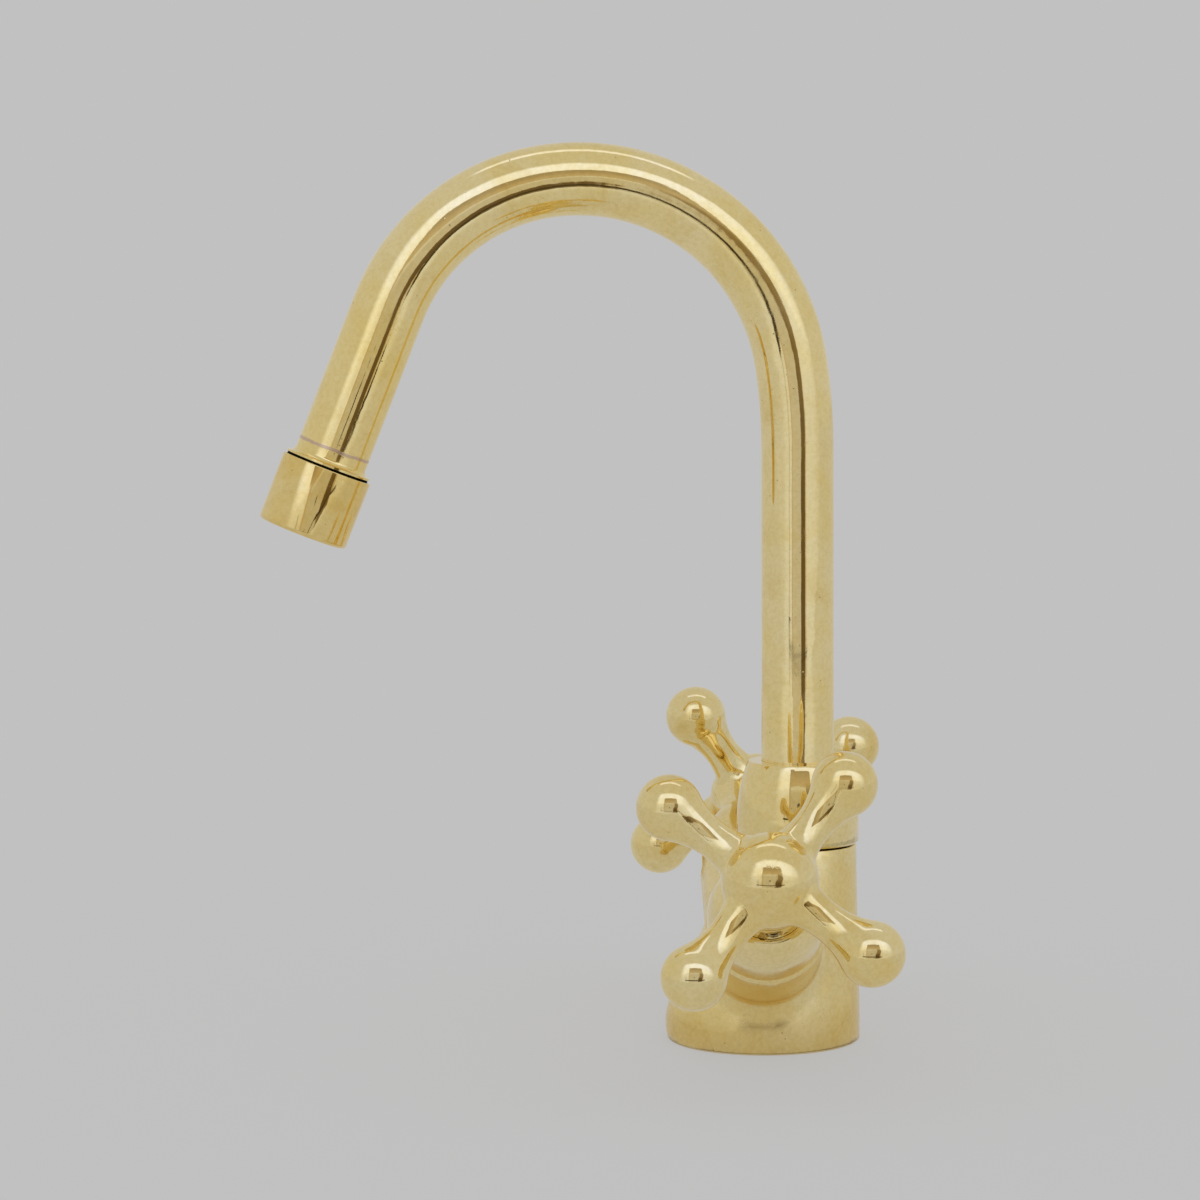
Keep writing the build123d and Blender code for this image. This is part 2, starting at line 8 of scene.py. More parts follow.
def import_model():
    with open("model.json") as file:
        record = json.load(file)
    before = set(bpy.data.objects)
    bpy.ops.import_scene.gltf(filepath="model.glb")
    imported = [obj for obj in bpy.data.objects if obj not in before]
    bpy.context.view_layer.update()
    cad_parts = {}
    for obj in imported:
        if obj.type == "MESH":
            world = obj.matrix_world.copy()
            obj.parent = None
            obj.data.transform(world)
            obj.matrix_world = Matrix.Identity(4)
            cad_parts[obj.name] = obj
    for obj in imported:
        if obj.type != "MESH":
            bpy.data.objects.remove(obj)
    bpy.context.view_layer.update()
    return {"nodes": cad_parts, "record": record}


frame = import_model()
nodes = frame["nodes"]
MM = 0.001

# The spout's line, in millimetres and degrees, as the tube is bent
SPOUT_Y = 9.0
BEND_START = 154.3
BEND_ARCS = ((147.0, 8.6), (55.8, 91.6), (51.4, 58.1))
LEG_LENGTH = 38.7
FERRULE_LENGTH = 4.3
SPOUT_TURN = math.radians(7.5)

# The camera's place in metres, its turns in radians, and its lens and sensor in millimetres
CAMERA_PLACE = (1.12549, -0.03152, 0.22118)
CAMERA_YAW, CAMERA_PITCH, CAMERA_ROLL = 0.009506, 0.09404, -0.005422
CAMERA_LENS = 130.81
CAMERA_SENSOR = 36.0

# Holes in the underside of the body: x, y and the radius that the thread marks reach, in metres
BASE_HOLES = ((0.009, -0.0005, 0.0047), (-0.009, -0.0005, 0.0047), (0.0, 0.0145, 0.0036))
BASE_HOLE_DEPTH = 0.0132
NECK_BOTTOM, NECK_RADIUS = 0.0511, 0.0142

# Marks that repeat are a sine, whose rate is its phase per metre: threads of 1 mm pitch, and the
# turning marks under the foot. The relief of a thread is in metres.
THREAD_RATE = 2 * math.pi / MM
TURNING_RATE = 9000.0
THREAD_RELIEF = 0.0003


def spout_leg():
    """The start of the leg and the way that it runs, from the riser and the three bends."""
    forward = Vector((math.sin(SPOUT_TURN), -math.cos(SPOUT_TURN), 0.0))
    along, height, angle = 0.0, BEND_START, 0.0
    for radius, turn in BEND_ARCS:
        after = angle + math.radians(turn)
        along += radius * (math.cos(angle) - math.cos(after))
        height += radius * (math.sin(after) - math.sin(angle))
        angle = after
    start = Vector((0, SPOUT_Y, 0)) + along * forward + Vector((0, 0, height))
    return start * MM, math.sin(angle) * forward + Vector((0, 0, math.cos(angle)))


LEG_START, LEG_WAY = spout_leg()
FERRULE_FACE = LEG_START + LEG_WAY * (LEG_LENGTH + FERRULE_LENGTH) * MM


def make_camera():
    """The camera, at the place, aim and lens that show the object as the photograph does."""
    level = math.cos(CAMERA_PITCH)
    look = Vector((-math.cos(CAMERA_YAW) * level, -math.sin(CAMERA_YAW) * level, -math.sin(CAMERA_PITCH)))
    right = Vector((-math.sin(CAMERA_YAW), math.cos(CAMERA_YAW), 0.0))
    up = right.cross(look)
    turned_right = math.cos(CAMERA_ROLL) * right + math.sin(CAMERA_ROLL) * up
    turned_up = math.cos(CAMERA_ROLL) * up - math.sin(CAMERA_ROLL) * right
    data = bpy.data.cameras.new("camera")
    data.sensor_width = CAMERA_SENSOR
    data.lens = CAMERA_LENS
    data.clip_start, data.clip_end = 0.05, 50.0
    cam = bpy.data.objects.new("camera", data)
    bpy.context.scene.collection.objects.link(cam)
    turn = Matrix((turned_right, turned_up, -look)).transposed()
    cam.matrix_world = Matrix.Translation(CAMERA_PLACE) @ turn.to_4x4()
    bpy.context.scene.camera = cam


make_camera()


class Tree:
    """A short way to add nodes to a material's, the world's or a modifier's tree and to join them."""

    def __init__(self, tree):
        self.tree = tree
        tree.nodes.clear()

    def add(self, kind, **settings):
        node = self.tree.nodes.new(kind)
        for key, value in settings.items():
            setattr(node, key, value)
        return node

    def join(self, source, target):
        self.tree.links.new(source, target)

    def put(self, target, value):
        """Joins value if it is a socket, and sets it as the default if it is a number or colour."""
        if isinstance(value, bpy.types.NodeSocket):
            self.join(value, target)
        else:
            target.default_value = value

    def output(self, shader, kind="ShaderNodeOutputMaterial"):
        """Joins the shader to the tree's output, which is added last."""
        self.join(shader, self.add(kind).inputs["Surface"])

    def object_place(self):
        return self.add("ShaderNodeTexCoord").outputs["Object"]

    def math(self, operation, a, b=0.0, c=0.0):
        node = self.add("ShaderNodeMath", operation=operation)
        self.put(node.inputs[0], a)
        self.put(node.inputs[1], b)
        self.put(node.inputs[2], c)
        return node.outputs[0]

    def times(self, *values):
        product = values[0]
        for value in values[1:]:
            product = self.math("MULTIPLY", product, value)
        return product

    def vector(self, operation, a, b=(0, 0, 0)):
        node = self.add("ShaderNodeVectorMath", operation=operation)
        self.put(node.inputs[0], a)
        self.put(node.inputs[1], b)
        gives_number = operation in ("DOT_PRODUCT", "LENGTH", "DISTANCE")
        return node.outputs["Value"] if gives_number else node.outputs[0]

    def scaled(self, a, factors):
        return self.vector("MULTIPLY", a, factors)

    def moved(self, a, offset):
        """The place moved by offset, so that two textures of one material don't share their pattern."""
        return self.vector("ADD", a, offset)

    def off_axis(self, place, x, y):
        """Distance from the upright line through x, y."""
        away = self.vector("SUBTRACT", place, (x, y, 0.0))
        return self.vector("LENGTH", self.scaled(away, (1, 1, 0)))

    def ramp(self, value, low, high, out_low=0.0, out_high=1.0):
        node = self.add("ShaderNodeMapRange", interpolation_type="SMOOTHSTEP")
        self.put(node.inputs["Value"], value)
        node.inputs["From Min"].default_value = low
        node.inputs["From Max"].default_value = high
        node.inputs["To Min"].default_value = out_low
        node.inputs["To Max"].default_value = out_high
        return node.outputs["Result"]

    def fall(self, value, low, high):
        """One below low, falling to nothing at high."""
        return self.ramp(value, low, high, 1.0, 0.0)

    def between(self, value, low, high, soft_low, soft_high):
        """One from low to high, falling to nothing over the soft widths outside."""
        rise = self.ramp(value, low - soft_low, low)
        return self.times(rise, self.fall(value, high, high + soft_high))

    def noise(self, place, scale, detail=3.0, roughness=0.55, distortion=0.0):
        node = self.add("ShaderNodeTexNoise")
        self.put(node.inputs["Vector"], place)
        node.inputs["Scale"].default_value = scale
        node.inputs["Detail"].default_value = detail
        node.inputs["Roughness"].default_value = roughness
        node.inputs["Distortion"].default_value = distortion
        return node.outputs["Fac"]

    def cells(self, place, scale):
        node = self.add("ShaderNodeTexVoronoi")
        self.put(node.inputs["Vector"], place)
        node.inputs["Scale"].default_value = scale
        return node.outputs["Distance"], node.outputs["Color"]

    def mix(self, share, a, b, blend="MIX"):
        node = self.add("ShaderNodeMix", data_type="RGBA", blend_type=blend)
        self.put(node.inputs[0], share)
        self.put(node.inputs[6], a)
        self.put(node.inputs[7], b)
        return node.outputs[2]

    def tint(self, share, color, by):
        return self.mix(share, color, by, "MULTIPLY")

    def bump(self, height, distance, strength=1.0, normal=None):
        node = self.add("ShaderNodeBump")
        self.put(node.inputs["Height"], height)
        node.inputs["Distance"].default_value = distance
        node.inputs["Strength"].default_value = strength
        if normal is not None:
            self.join(normal, node.inputs["Normal"])
        return node.outputs["Normal"]

    def split(self, vector):
        node = self.add("ShaderNodeSeparateXYZ")
        self.join(vector, node.inputs[0])
        return node.outputs[0], node.outputs[1], node.outputs[2]


def rgb(r, g, b):
    return (r, g, b, 1.0)


def gray(level):
    return rgb(level, level, level)


def new_material(name):
    material = bpy.data.materials.new(name)
    material.use_nodes = True
    return material, Tree(material.node_tree)


def surface(tree, color, metallic, roughness, normal, **uniform):
    """The Principled surface and the output. Values in uniform go straight on its own sockets."""
    shader = tree.add("ShaderNodeBsdfPrincipled")
    tree.put(shader.inputs["Base Color"], color)
    shader.inputs["Metallic"].default_value = metallic
    tree.put(shader.inputs["Roughness"], roughness)
    tree.join(normal, shader.inputs["Normal"])
    for key, value in uniform.items():
        shader.inputs[key.replace("_", " ")].default_value = value
    tree.output(shader.outputs[0])


# Brass tones: pale, middle and warm, for the drawn tube, the castings and the aerator's housing
TUBE_TONES = (rgb(0.97, 0.81, 0.435), rgb(0.96, 0.79, 0.395), rgb(0.95, 0.76, 0.335))
CAST_TONES = (rgb(0.925, 0.775, 0.415), rgb(0.915, 0.75, 0.36), rgb(0.90, 0.705, 0.295))
WARM_TONES = (rgb(0.905, 0.72, 0.335), rgb(0.895, 0.69, 0.28), rgb(0.885, 0.65, 0.225))

# Marks on brass: tints that multiply it, and colours of their own
MOTTLE_TINT = rgb(0.93, 0.92, 0.86)
FILM_TINT = rgb(0.90, 0.85, 0.72)
# Painted shade: the foot darker and warmer low down, for the shaded floor that it reflects
FOOT_SHADE_TINT = rgb(0.92, 0.86, 0.73)
HEAT_TINT = rgb(0.99, 0.95, 0.80)
PIT_COLOR = rgb(0.25, 0.16, 0.07)
LINE_COLOR = rgb(0.80, 0.64, 0.32)
SCRATCH_COLOR = rgb(0.62, 0.47, 0.22)
MACHINED_COLOR = rgb(0.76, 0.61, 0.32)
BRAZE_COLOR = rgb(0.50, 0.33, 0.37)
# Painted shade: near black, for threads and bores that lie in deep gaps
RECESS_SHADE_COLOR = rgb(0.035, 0.026, 0.016)
LIME_COLOR = rgb(0.62, 0.58, 0.50)

# Relief of polished brass, in metres
WAVE_RELIEF, RIPPLE_RELIEF, LINE_RELIEF, PIT_RELIEF = 0.00022, 0.000018, 0.000004, 0.00006


def brass(name, tones, grain=(1.0, 1.0, 1.0), satin=0.0, special=None):
    """Hand-polished brass. grain stretches the fine polishing lines, satin dulls it, special adds marks."""
    material, t = new_material(name)
    place = t.object_place()
    pale, middle, warm = tones
    clouds = t.noise(place, 42.0, 4.0, 0.6, 0.4)
    patches = t.noise(t.moved(place, (0.31, 0.17, 0.05)), 150.0, 3.0, 0.6, 0.8)
    mottle = t.noise(t.moved(place, (0.12, 0.44, 0.8)), 900.0, 4.0, 0.7)
    film = t.noise(t.moved(place, (0.63, 0.28, 0.37)), 85.0, 6.0, 0.68, 0.5)
    haze = t.noise(t.moved(place, (0.7, 0.2, 0.4)), 60.0, 5.0, 0.62)
    lines = t.noise(t.scaled(place, grain), 500.0, 2.0, 0.7)
    distance, shade = t.cells(place, 520.0)
    rare = t.math("GREATER_THAN", t.split(shade)[0], 0.94)
    pit = t.times(t.fall(distance, 0.03, 0.16), rare)
    contour = t.noise(t.moved(place, (0.2, 0.9, 0.6)), 95.0, 2.0)
    scratch = t.fall(t.math("ABSOLUTE", t.math("SUBTRACT", contour, 0.5)), 0.0006, 0.002)
    scratch = t.times(scratch, t.ramp(haze, 0.48, 0.6))

    color = t.mix(t.ramp(clouds, 0.38, 0.62), pale, warm)
    color = t.mix(t.ramp(patches, 0.42, 0.7, 0.0, 0.7), color, middle)
    color = t.tint(t.ramp(mottle, 0.38, 0.66), color, MOTTLE_TINT)
    color = t.tint(t.ramp(film, 0.48, 0.74, 0.0, 0.85), color, FILM_TINT)
    color = t.mix(t.times(pit, 0.75), color, PIT_COLOR)
    color = t.mix(t.ramp(lines, 0.5, 0.85, 0.0, 0.10), color, LINE_COLOR)
    color = t.mix(t.times(scratch, 0.35), color, SCRATCH_COLOR)

    roughness = t.ramp(haze, 0.42, 0.72, 0.04 + satin, 0.105 + 1.2 * satin)
    for dulling in (t.times(pit, 0.35), t.ramp(lines, 0.45, 0.9, 0.0, 0.04), t.times(scratch, 0.14),
                    t.ramp(mottle, 0.45, 0.75, 0.0, 0.035)):
        roughness = t.math("ADD", roughness, dulling)

    ripples = t.noise(t.moved(place, (0.5, 0.4, 0.1)), 300.0, 1.0, 0.5)
    normal = t.bump(t.noise(place, 75.0, 1.0, 0.5), WAVE_RELIEF, 0.35)
    normal = t.bump(ripples, RIPPLE_RELIEF, 1.0, normal)
    normal = t.bump(lines, LINE_RELIEF, 0.7, normal)
    normal = t.bump(t.math("MULTIPLY", pit, -1.0), PIT_RELIEF, 0.7, normal)
    if special:
        color, roughness, normal = special(t, place, color, roughness, normal)
    surface(t, color, 1.0, roughness, normal)
    return material


def painted_shade(t, share, color, roughness):
    """Painted shade for threads and bores in deep gaps: brass made near black, and dull as brass that is
    never polished.
    """
    color = t.mix(share, color, RECESS_SHADE_COLOR)
    roughness = t.math("MAXIMUM", roughness, t.times(share, 0.75))
    return color, roughness


def threaded(t, along, share, normal):
    """The relief of a thread along its axis, where share is one."""
    turns = t.math("SINE", t.times(along, THREAD_RATE))
    return t.bump(t.times(turns, share), THREAD_RELIEF, 1.0, normal)


def body_marks(t, place, color, roughness, normal):
    """Machined underside, threads in three holes and the neck under the collar, painted shade on neck and
    foot.
    """
    z = t.split(place)[2]
    holes = 0.0
    for x, y, radius in BASE_HOLES:
        inside = t.math("LESS_THAN", t.off_axis(place, x, y), radius)
        holes = t.math("MAXIMUM", holes, inside)
    holes = t.times(holes, t.fall(z, BASE_HOLE_DEPTH, BASE_HOLE_DEPTH + 0.0006))
    normal = threaded(t, z, holes, normal)
    under = t.fall(z, 0.00005, 0.0006)
    rings = t.math("SINE", t.times(t.off_axis(place, 0.0, 0.0), TURNING_RATE))
    normal = t.bump(t.times(rings, under), 0.00002, 0.8, normal)
    # Painted shade and reflection: the body darker and warmer towards the floor
    color = t.tint(t.fall(z, 0.001, 0.016), color, FOOT_SHADE_TINT)
    machined = t.math("MAXIMUM", under, holes)
    color = t.mix(machined, color, MACHINED_COLOR)
    roughness = t.math("MAXIMUM", roughness, t.times(machined, 0.3))
    within = t.math("LESS_THAN", t.off_axis(place, 0.0, SPOUT_Y * MM), NECK_RADIUS)
    neck = t.times(t.ramp(z, NECK_BOTTOM, NECK_BOTTOM + 0.00015), within)
    normal = threaded(t, z, neck, normal)
    # Painted shade: the neck's thread made dark
    color, roughness = painted_shade(t, neck, color, roughness)
    return color, roughness, normal


def from_ferrule(t, place):
    """Distance along the leg from the ferrule's lower face, and distance from the leg's axis."""
    away = t.vector("SUBTRACT", place, tuple(FERRULE_FACE))
    along = t.vector("DOT_PRODUCT", away, tuple(LEG_WAY))
    straight = t.vector("LENGTH", away)
    square = t.math("SUBTRACT", t.times(straight, straight), t.times(along, along))
    return along, t.math("SQRT", t.math("MAXIMUM", square, 0.0))


def braze_line(t, place, color, roughness, normal):
    """The soft mauve line of braze where the tube meets its ferrule, and the tube's warm end."""
    along = from_ferrule(t, place)[0]
    wobble = t.ramp(t.noise(place, 260.0, 2.0), 0.3, 0.7, -0.00012, 0.00012)
    level = t.math("ADD", t.math("ADD", along, FERRULE_LENGTH * MM), wobble)
    to_outlet = t.vector("DISTANCE", place, tuple(FERRULE_FACE))
    at_outlet = t.math("LESS_THAN", to_outlet, 0.03)
    line = t.times(t.between(level, -0.00034, 0.00014, 0.00034, 0.00034), at_outlet)
    warm = t.times(t.ramp(along, -0.062, -0.030), t.fall(to_outlet, 0.050, 0.070))
    color = t.tint(t.times(warm, 0.8), color, HEAT_TINT)
    color = t.mix(t.times(line, 0.58), color, BRAZE_COLOR)
    roughness = t.math("ADD", roughness, t.times(line, 0.16))
    normal = t.bump(line, 0.00003, 0.6, normal)
    return color, roughness, normal


def ferrule_marks(t, place, color, roughness, normal):
    """The braze line above, and the thread below the flange, painted dark as shade."""
    color, roughness, normal = braze_line(t, place, color, roughness, normal)
    along, side = from_ferrule(t, place)
    below = t.math("GREATER_THAN", along, 0.00002)
    inner_face = t.times(t.math("GREATER_THAN", along, -0.0001), t.math("LESS_THAN", side, 0.01115))
    share = t.math("MAXIMUM", below, inner_face)
    normal = threaded(t, along, share, normal)
    # Painted shade: the thread below the flange and the inner face made dark
    color, roughness = painted_shade(t, share, color, roughness)
    return color, roughness, normal


def housing_marks(t, place, color, roughness, normal):
    """The inside of the aerator's housing, painted dark as shade, and the lime on the rim of its mouth."""
    along, side = from_ferrule(t, place)
    inside = t.times(t.math("LESS_THAN", side, 0.0111), t.math("LESS_THAN", along, 0.0172))
    # Painted shade: the inside of the housing made dark
    color, roughness = painted_shade(t, inside, color, roughness)
    lime = t.times(t.ramp(along, 0.0170, 0.0184), t.math("LESS_THAN", side, 0.0103))
    lime = t.times(lime, t.ramp(t.noise(place, 900.0, 4.0, 0.65), 0.42, 0.62))
    color = t.mix(t.times(lime, 0.35), color, LIME_COLOR)
    roughness = t.math("ADD", roughness, t.times(lime, 0.3))
    return color, roughness, normal


def plain_brass(name):
    """Machined brass of the inner pieces, with turning marks."""
    material, t = new_material(name)
    place = t.object_place()
    lines = t.noise(place, 1500.0, 2.0, 0.7)
    color = t.mix(t.ramp(t.noise(place, 90.0), 0.35, 0.65), rgb(0.80, 0.64, 0.34), rgb(0.72, 0.55, 0.27))
    surface(t, color, 1.0, t.ramp(lines, 0.3, 0.7, 0.2, 0.34), t.bump(lines, 0.00001, 0.7))
    return material


def rubber(name):
    """Black rubber with a fine grain and a grey bloom."""
    material, t = new_material(name)
    place = t.object_place()
    grain = t.noise(place, 2600.0, 3.0, 0.6)
    bloom = t.noise(place, 160.0, 4.0, 0.6)
    color = t.mix(t.ramp(bloom, 0.4, 0.75), rgb(0.018, 0.018, 0.019), rgb(0.05, 0.05, 0.052))
    surface(t, color, 0.0, t.ramp(bloom, 0.3, 0.7, 0.5, 0.72), t.bump(grain, 0.00004, 0.6))
    return material


def plastic(name):
    """White moulded plastic with faint flow marks."""
    material, t = new_material(name)
    place = t.object_place()
    flow = t.noise(place, 220.0, 3.0, 0.55, 0.6)
    grain = t.noise(place, 3200.0, 2.0, 0.6)
    color = t.mix(t.ramp(flow, 0.35, 0.7), rgb(0.80, 0.80, 0.77), rgb(0.74, 0.73, 0.69))
    surface(t, color, 0.0, t.ramp(grain, 0.3, 0.7, 0.3, 0.42), t.bump(grain, 0.00001, 0.6),
            Subsurface_Weight=0.08, Subsurface_Scale=0.002)
    return material


def ceramic(name):
    """The lapped ceramic of the valve discs."""
    material, t = new_material(name)
    fine = t.noise(t.object_place(), 2400.0, 4.0, 0.7)
    color = t.mix(t.ramp(fine, 0.35, 0.7), rgb(0.84, 0.83, 0.79), rgb(0.78, 0.77, 0.73))
    surface(t, color, 0.0, t.ramp(fine, 0.3, 0.7, 0.08, 0.16), t.bump(fine, 0.000004, 0.5))
    return material


def steel(name):
    """Stainless steel with fine drawn lines."""
    material, t = new_material(name)
    lines = t.noise(t.scaled(t.object_place(), (1.0, 1.0, 0.12)), 3600.0, 3.0, 0.7)
    color = t.mix(t.ramp(lines, 0.3, 0.7), rgb(0.60, 0.59, 0.57), rgb(0.50, 0.49, 0.48))
    surface(t, color, 1.0, t.ramp(lines, 0.3, 0.75, 0.2, 0.36), t.bump(lines, 0.00001, 0.7))
    return material


# Polishing lines run along the tube, round the collar and round the two pieces of the outlet
ALONG_TUBE = (1.0, 1.0, 0.05)
ROUND_COLLAR = (0.2, 0.2, 1.0)
ROUND_OUTLET = (0.25, 0.25, 1.0)

handle_brass = brass("handle_brass", CAST_TONES, satin=0.02)
cover_brass = brass("cover_brass", CAST_TONES, satin=0.05)
by_node = {
    "mixer_body": brass("body_brass", CAST_TONES, satin=0.17, special=body_marks),
    "spout_tube": brass("tube_brass", TUBE_TONES, ALONG_TUBE, special=braze_line),
    "spout_collar": brass("collar_brass", CAST_TONES, ROUND_COLLAR),
    "outlet_ferrule": brass("ferrule_brass", TUBE_TONES, ROUND_OUTLET, special=ferrule_marks),
    "aerator_housing": brass("housing_brass", WARM_TONES, ROUND_OUTLET, special=housing_marks),
    "right_cross_handle": handle_brass,
    "left_cross_handle": handle_brass,
    "right_valve_cover": cover_brass,
    "left_valve_cover": cover_brass,
}
by_slot = {
    "plain_brass": plain_brass("plain_brass"),
    "black_rubber": rubber("black_rubber"),
    "white_plastic": plastic("white_plastic"),
    "ceramic": ceramic("ceramic"),
    "steel": steel("steel"),
}

# A face counts as curved where its corners' normals turn from it by more than the first of these,
# and a corner as one at a seam where its normal turns by less than the second (one less the cosine)
CURVED, UNTURNED = 0.00003, 0.000003
SAME_POINT = 1e-6
AREA_SCALE = 1e6


def seam_closer():
    """Nodes that make the shading run on over the line where a turned face closes on itself.

    There each side has the normal of its own flat facet, which shows as a step in polished metal.
    The points of both sides are joined, and share one normal, weighted by area and angle.
    """
    group = bpy.data.node_groups.new("close_seams", "GeometryNodeTree")
    group.interface.new_socket("Geometry", in_out="INPUT", socket_type="NodeSocketGeometry")
    group.interface.new_socket("Geometry", in_out="OUTPUT", socket_type="NodeSocketGeometry")
    t = Tree(group)
    source = t.add("NodeGroupInput")
    shading = t.add("GeometryNodeInputNormal")

    def over(domain, kind, value):
        node = t.add("GeometryNodeFieldOnDomain", domain=domain, data_type=kind)
        t.put(node.inputs[0], value)
        return node.outputs[0]

    corner_normal = over("CORNER", "FLOAT_VECTOR", shading.outputs["Normal"])
    facet_normal = over("FACE", "FLOAT_VECTOR", shading.outputs["True Normal"])
    off = t.math("SUBTRACT", 1.0, t.vector("DOT_PRODUCT", corner_normal, facet_normal))
    curved = t.math("GREATER_THAN", over("FACE", "FLOAT", off), CURVED)
    at_seam = t.times(curved, t.math("LESS_THAN", off, UNTURNED))

    place = t.add("GeometryNodeInputPosition").outputs[0]
    sides = []
    for step in (-1, 1):
        corner = t.add("GeometryNodeOffsetCornerInFace")
        corner.inputs["Offset"].default_value = step
        point = t.add("GeometryNodeVertexOfCorner")
        t.join(corner.outputs[0], point.inputs[0])
        other = t.add("GeometryNodeFieldAtIndex", domain="POINT", data_type="FLOAT_VECTOR")
        t.join(point.outputs[0], other.inputs["Index"])
        t.join(place, other.inputs["Value"])
        sides.append(t.vector("NORMALIZE", t.vector("SUBTRACT", other.outputs[0], place)))
    opening = t.math("ARCCOSINE", t.vector("DOT_PRODUCT", sides[0], sides[1]))
    area = t.add("GeometryNodeInputMeshFaceArea").outputs[0]
    weighted = t.add("ShaderNodeVectorMath", operation="SCALE")
    t.join(corner_normal, weighted.inputs[0])
    t.join(t.times(at_seam, area, opening, AREA_SCALE), weighted.inputs["Scale"])

    kept = t.add("GeometryNodeCaptureAttribute", domain="CORNER")
    t.join(source.outputs[0], kept.inputs["Geometry"])
    fields = (("VECTOR", "own", corner_normal), ("FLOAT", "seam", at_seam),
              ("VECTOR", "pull", weighted.outputs[0]))
    for kind, name, value in fields:
        kept.capture_items.new(kind, name)
        t.join(value, kept.inputs[name])
    joined = t.add("GeometryNodeMergeByDistance")
    t.join(kept.outputs["Geometry"], joined.inputs["Geometry"])
    joined.inputs["Distance"].default_value = SAME_POINT
    shared = t.vector("NORMALIZE", over("POINT", "FLOAT_VECTOR", kept.outputs["pull"]))
    pick = t.add("GeometryNodeSwitch", input_type="VECTOR")
    t.join(t.math("GREATER_THAN", kept.outputs["seam"], 0.5), pick.inputs[0])
    t.join(kept.outputs["own"], pick.inputs[1])
    t.join(shared, pick.inputs[2])
    shade = t.add("GeometryNodeSetMeshNormal", mode="FREE", domain="CORNER")
    t.join(joined.outputs[0], shade.inputs["Mesh"])
    t.join(pick.outputs[0], shade.inputs["Custom Normal"])
    result = t.add("NodeGroupOutput")
    t.join(shade.outputs[0], result.inputs[0])
    return group


closer = seam_closer()
slot_of = {row["node"]: row["material_slot"] for row in frame["record"]["subparts"]}
for name, node in nodes.items():
    node.data.materials.clear()
    node.data.materials.append(by_node.get(name) or by_slot[slot_of[name]])
    if name in by_node:
        node.modifiers.new("close_seams", "NODES").node_group = closer


# Surroundings. The room is pale, and the floor runs on to the background. Planes that show only in
# the metal are an open doorway in front of the object, with bright sides and top, a lit strip
# overhead, and the front of the table with a dark bar beyond it. All places are in metres.
WALL = 0.62
BACKGROUND = 0.533
DOOR_X, DOOR_HALF_WIDTH, DOOR_TOP = 0.70, 2.3, 1.35

# In the doorway, along y: the room, a pale pane in it, a dark side, and a thin post in the light
ROOM = (-0.235, 0.335)
PANE = (-0.19, 0.112)
DARK_SIDE = (0.125, 0.285)
POST = (-0.366, -0.346)
DOOR_LIGHT = (-0.46, 0.50)
PANE_COLOR = rgb(0.55, 0.53, 0.50)
RIM_COLOR = rgb(0.66, 0.67, 0.70)
DARK_SPOT, DARK_SPOT_COLOR = (DOOR_X, -0.019, 0.152), rgb(0.05, 0.045, 0.035)

OVERHEAD_X, OVERHEAD_HALF_WIDTH, OVERHEAD_Z = (-0.34, -0.04), 0.6, 1.0
TABLE_FRONT_X, TABLE_FRONT_Z = 0.28, 0.0008
OUTLET_Y = -0.115


def flat_stage(name, corners, material, only_reflected=False):
    """One flat face that isn't part of the object."""
    mesh = bpy.data.meshes.new(name)
    mesh.from_pydata(corners, [], [(0, 1, 2, 3)])
    mesh.materials.append(material)
    made = bpy.data.objects.new(name, mesh)
    bpy.context.scene.collection.objects.link(made)
    if only_reflected:
        made.visible_camera = False
        made.visible_shadow = False
        made.visible_diffuse = False


def reflected(name, corners, shade):
    """A flat light seen only in reflections. shade gives its colour from the place on it."""
    material, t = new_material(name)
    glow = t.add("ShaderNodeEmission")
    t.put(glow.inputs["Color"], shade(t, t.object_place()))
    t.output(glow.outputs[0])
    flat_stage(name, corners, material, only_reflected=True)


def pane_share(t, from_left, from_right):
    """One on the pane, whose left and right edges are found along two lines of their own."""
    left, right = PANE
    return t.times(t.ramp(from_left, left - 0.01, left), t.fall(from_right, right, right + 0.008))


def dark_side_share(t, along):
    return t.between(along, *DARK_SIDE, 0.01, 0.006)


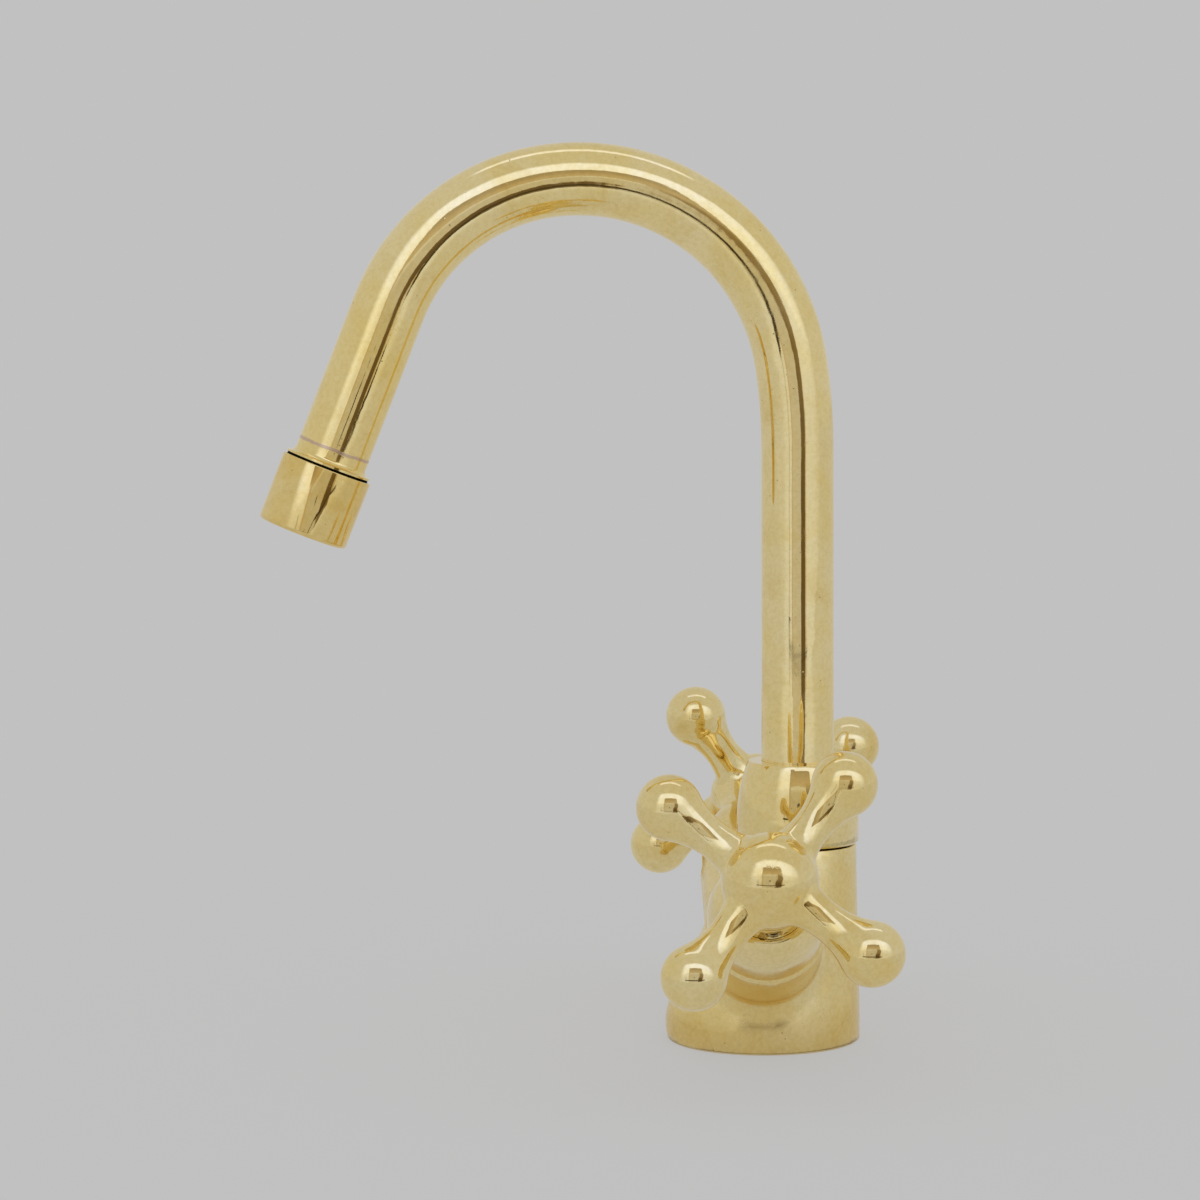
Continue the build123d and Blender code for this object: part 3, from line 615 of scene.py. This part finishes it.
def door_shade(t, place):
    """Bright jambs and head round a brown room, with a pale pane and a dark side in it."""
    y, z = t.split(place)[1:]
    low_light = t.mix(t.ramp(z, 0.10, 0.27), rgb(0.70, 0.715, 0.77), rgb(0.79, 0.82, 0.93))
    high_light = t.mix(t.ramp(z, 0.40, 0.80), rgb(0.95, 1.01, 1.22), rgb(1.0, 1.10, 1.56))
    light = t.mix(t.ramp(z, 0.27, 0.40), low_light, high_light)
    lit = t.times(t.between(y, *DOOR_LIGHT, 0.34, 1.7), t.fall(z, 0.96, 1.20))
    color = t.mix(lit, gray(WALL), light)
    brown = t.mix(t.ramp(z, 0.34, 0.56), rgb(0.54, 0.46, 0.34), rgb(0.40, 0.34, 0.25))
    room = t.times(t.between(y, *ROOM, 0.008, 0.008), t.fall(z, 0.60, 0.615))
    color = t.mix(room, color, brown)
    slope = t.math("SUBTRACT", y, t.ramp(z, 0.08, 0.24, 0.0, 0.075))
    dark = t.mix(t.ramp(z, 0.08, 0.22), rgb(0.13, 0.09, 0.045), rgb(0.27, 0.21, 0.13))
    side = t.times(dark_side_share(t, slope), t.fall(z, 0.26, 0.40))
    color = t.mix(side, color, dark)
    pane = t.times(pane_share(t, y, slope), t.fall(z, 0.33, 0.345))
    color = t.mix(pane, color, PANE_COLOR)
    color = t.mix(t.times(pane, t.ramp(z, 0.27, 0.33)), color, RIM_COLOR)
    post = t.times(t.between(y, *POST, 0.004, 0.004), t.fall(z, 0.16, 0.24))
    color = t.mix(t.times(post, 0.8), color, rgb(0.36, 0.35, 0.29))
    to_spot = t.vector("LENGTH", t.vector("SUBTRACT", place, DARK_SPOT))
    return t.mix(t.fall(to_spot, 0.014, 0.022), color, DARK_SPOT_COLOR)


def overhead_shade(t, place):
    """A bright strip in a plain ceiling."""
    x, y = t.split(place)[:2]
    lit = t.times(t.between(x, -0.17, -0.10, 0.09, 0.03), t.between(y, -0.34, 0.42, 0.1, 0.12))
    return t.mix(lit, gray(WALL), rgb(0.98, 1.05, 1.45))


def table_front_shade(t, place):
    """The table's front, lit from the doorway, whose pane and dark side run on below its far edge."""
    x, y = t.split(place)[:2]
    lit = t.times(t.ramp(x, 0.30, 0.50), t.between(y, -0.5, 0.5, 0.2, 0.2))
    color = t.mix(lit, rgb(0.59, 0.59, 0.58), rgb(0.70, 0.72, 0.79))
    # The line from the outlet through this place meets the doorway at seen, along y
    reach = t.math("DIVIDE", DOOR_X, t.math("MAXIMUM", x, 0.1))
    seen = t.math("ADD", t.times(t.math("SUBTRACT", y, OUTLET_Y), reach), OUTLET_Y)
    beyond = t.ramp(x, 0.47, 0.50)
    color = t.mix(t.times(beyond, pane_share(t, seen, seen)), color, PANE_COLOR)
    return t.mix(t.times(beyond, dark_side_share(t, seen)), color, rgb(0.205, 0.15, 0.09))


def dark_bar_shade(t, place):
    """Plain dark brown."""
    return rgb(0.06, 0.048, 0.025)


def surroundings():
    x, wide, high = DOOR_X, DOOR_HALF_WIDTH, DOOR_TOP
    reflected("doorway", [(x, -wide, 0), (x, wide, 0), (x, wide, high), (x, -wide, high)], door_shade)
    (low, high), half, z = OVERHEAD_X, OVERHEAD_HALF_WIDTH, OVERHEAD_Z
    reflected("overhead", [(low, -half, z), (high, -half, z), (high, half, z), (low, half, z)],
              overhead_shade)
    low, high, z = TABLE_FRONT_X, DOOR_X, TABLE_FRONT_Z
    reflected("table_front", [(low, -wide, z), (high, -wide, z), (high, wide, z), (low, wide, z)],
              table_front_shade)
    # The dark bar slopes down from the table to the doorway, and the foot sees it along its slope
    low, low_half, low_z = 0.45, 0.24, 0.0470
    high, high_half, high_z = 0.69, 0.4, 0.0222
    reflected("dark_bar", [(low, -low_half, low_z), (high, -high_half, high_z), (high, high_half, high_z),
                           (low, low_half, low_z)], dark_bar_shade)


surroundings()


def floor():
    """A pale table top that runs on to the background without an edge. It holds the shadow."""
    size = 8.0
    level, change = BACKGROUND / WALL, 0.002
    camera_share, glossy_share = 0.72, 0.65
    material, t = new_material("floor")
    tone = t.ramp(t.noise(t.object_place(), 6.0, 3.0), 0.3, 0.7)
    matt = t.add("ShaderNodeBsdfDiffuse")
    t.join(t.mix(tone, gray(level - change), gray(level + change)), matt.inputs["Color"])
    path = t.add("ShaderNodeLightPath")
    from_camera, glossy = path.outputs["Is Camera Ray"], path.outputs["Is Glossy Ray"]
    plain = t.add("ShaderNodeEmission")
    t.join(t.mix(glossy, gray(BACKGROUND), rgb(0.61, 0.605, 0.60)), plain.inputs["Color"])
    both = t.add("ShaderNodeMixShader")
    share = t.math("ADD", t.times(from_camera, camera_share), t.times(glossy, glossy_share))
    t.join(share, both.inputs[0])
    t.join(matt.outputs[0], both.inputs[1])
    t.join(plain.outputs[0], both.inputs[2])
    t.output(both.outputs[0])
    flat_stage("floor", [(-size, -size, 0), (size, -size, 0), (size, size, 0), (-size, size, 0)], material)


floor()


def world():
    """Even light from all round, and the plain background that the camera sees."""
    made = bpy.data.worlds.new("world")
    bpy.context.scene.world = made
    made.use_nodes = True
    t = Tree(made.node_tree)
    from_camera = t.add("ShaderNodeLightPath").outputs["Is Camera Ray"]
    back = t.add("ShaderNodeBackground")
    t.join(t.mix(from_camera, gray(WALL), gray(BACKGROUND)), back.inputs["Color"])
    t.output(back.outputs[0], "ShaderNodeOutputWorld")


world()

bpy.context.scene.view_settings.view_transform = "Standard"
